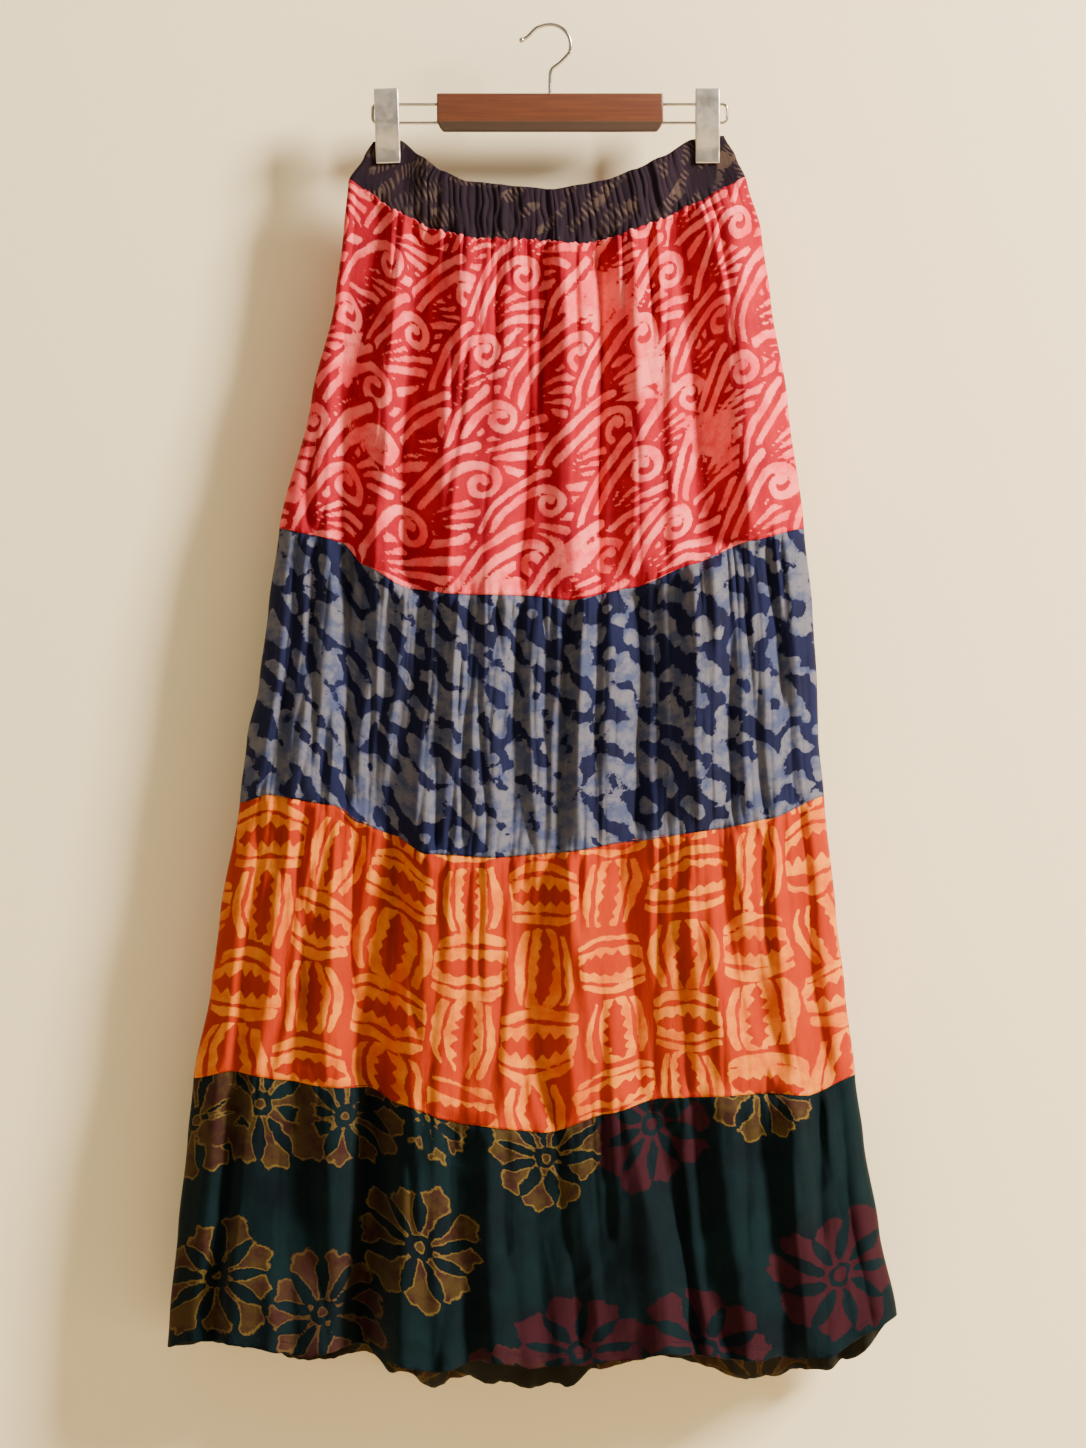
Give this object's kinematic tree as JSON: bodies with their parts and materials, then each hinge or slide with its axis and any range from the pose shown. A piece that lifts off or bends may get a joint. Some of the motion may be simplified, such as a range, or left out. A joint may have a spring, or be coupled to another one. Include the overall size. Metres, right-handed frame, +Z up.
{
  "type": "tiered maxi skirt on a clip hanger",
  "caption": "Long gathered skirt with a dark waistband and red, navy, orange and dark teal printed tiers, held by metal clips on a wood and wire hanger.",
  "frame": {"origin": "underside of the hook's crown, where a rail carries the hanger", "axes": "+X to the right as the front is seen, +Y from the front to the back, +Z up"},
  "size_m": [0.6137, 0.114, 1.1522],
  "materials": {
    "band_cloth": "woven cotton, matte",
    "red_cloth": "woven cotton, matte",
    "blue_cloth": "woven cotton, matte",
    "orange_cloth": "woven cotton, matte",
    "teal_cloth": "woven cotton, matte",
    "wire": "bright nickel",
    "clip_metal": "satin nickel",
    "clip_plastic": "satin",
    "bar_wood": "satin lacquer"
  },
  "bodies": {
    "root": {"waistband_front": "band_cloth", "waistband_back": "band_cloth", "tier1_front": "red_cloth", "tier1_back": "red_cloth", "tier2_front": "blue_cloth", "tier2_back": "blue_cloth", "tier3_front": "orange_cloth", "tier3_back": "orange_cloth", "tier4_front": "teal_cloth", "tier4_back": "teal_cloth", "hook": "wire", "bar": "bar_wood", "rod_left": "wire", "rod_right": "wire", "clip_left_block": "clip_plastic", "clip_left_jaw_front": "clip_metal", "clip_left_pad_front": "clip_plastic", "clip_left_jaw_back": "clip_metal", "clip_left_pad_back": "clip_plastic", "clip_right_block": "clip_plastic", "clip_right_jaw_front": "clip_metal", "clip_right_pad_front": "clip_plastic", "clip_right_jaw_back": "clip_metal", "clip_right_pad_back": "clip_plastic"}
  },
  "joints": []
}
